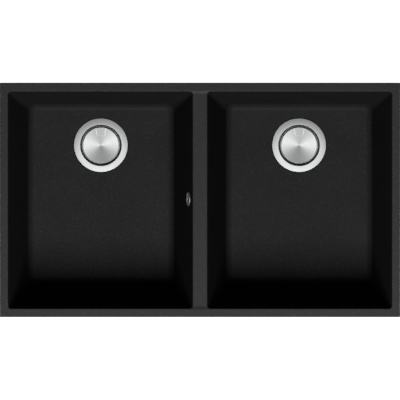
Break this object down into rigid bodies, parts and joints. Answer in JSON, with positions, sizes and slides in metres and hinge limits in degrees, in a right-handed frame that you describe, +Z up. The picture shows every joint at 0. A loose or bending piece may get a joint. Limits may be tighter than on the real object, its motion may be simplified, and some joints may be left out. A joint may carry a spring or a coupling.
{
  "type": "double bowl kitchen sink",
  "caption": "Undermount kitchen sink in black stone composite: twin equal bowls, a slightly lower divider, basket-strainer wastes with flat steel covers, and an overflow with its hose.",
  "frame": {"origin": "centre of the rim plane, the flat top that is pressed up against a worktop", "axes": "+X along the width to the right bowl, +Y to the back edge, +Z up"},
  "size_m": [0.82, 0.48, 0.2962],
  "materials": {
    "composite": "matte",
    "brushed_steel": "satin",
    "turned_steel": "satin",
    "black_rubber": "matte",
    "white_plastic": "satin",
    "grey_plastic": "matte",
    "brass": "satin"
  },
  "bodies": {
    "sink": {"sink_body": "composite", "overflow_rosette": "brushed_steel", "overflow_screw": "brushed_steel", "overflow_seal": "black_rubber", "overflow_chamber": "grey_plastic", "overflow_hose": "black_rubber", "upper_union_nut": "grey_plastic", "lower_union_nut": "grey_plastic", "inlet_cap": "grey_plastic", "inlet_cap_washer": "black_rubber", "left_waste_cup": "brushed_steel", "left_flange_gasket": "black_rubber", "left_floor_seal": "black_rubber", "left_clamp_screw": "brushed_steel", "left_clamp_nut": "brass", "left_waste_body": "white_plastic", "right_waste_cup": "brushed_steel", "right_flange_gasket": "black_rubber", "right_floor_seal": "black_rubber", "right_clamp_screw": "brushed_steel", "right_clamp_nut": "brass", "right_waste_body": "white_plastic"},
    "left_strainer": {"left_basket": "brushed_steel", "left_basket_post": "brushed_steel", "left_basket_plug": "black_rubber", "left_plug_nut": "brass"},
    "left_cover": {"left_waste_cover": "turned_steel"},
    "right_strainer": {"right_basket": "brushed_steel", "right_basket_post": "brushed_steel", "right_basket_plug": "black_rubber", "right_plug_nut": "brass"},
    "right_cover": {"right_waste_cover": "turned_steel"}
  },
  "joints": [
    {"name": "left_strainer_lift", "type": "slide", "parent": "sink", "child": "left_strainer", "axis": [0, 0, 1], "range_m": [0, 0.25]},
    {"name": "left_cover_lift", "type": "slide", "parent": "left_strainer", "child": "left_cover", "axis": [0, 0, 1], "range_m": [0, 0.25]},
    {"name": "right_strainer_lift", "type": "slide", "parent": "sink", "child": "right_strainer", "axis": [0, 0, 1], "range_m": [0, 0.25]},
    {"name": "right_cover_lift", "type": "slide", "parent": "right_strainer", "child": "right_cover", "axis": [0, 0, 1], "range_m": [0, 0.25]}
  ]
}
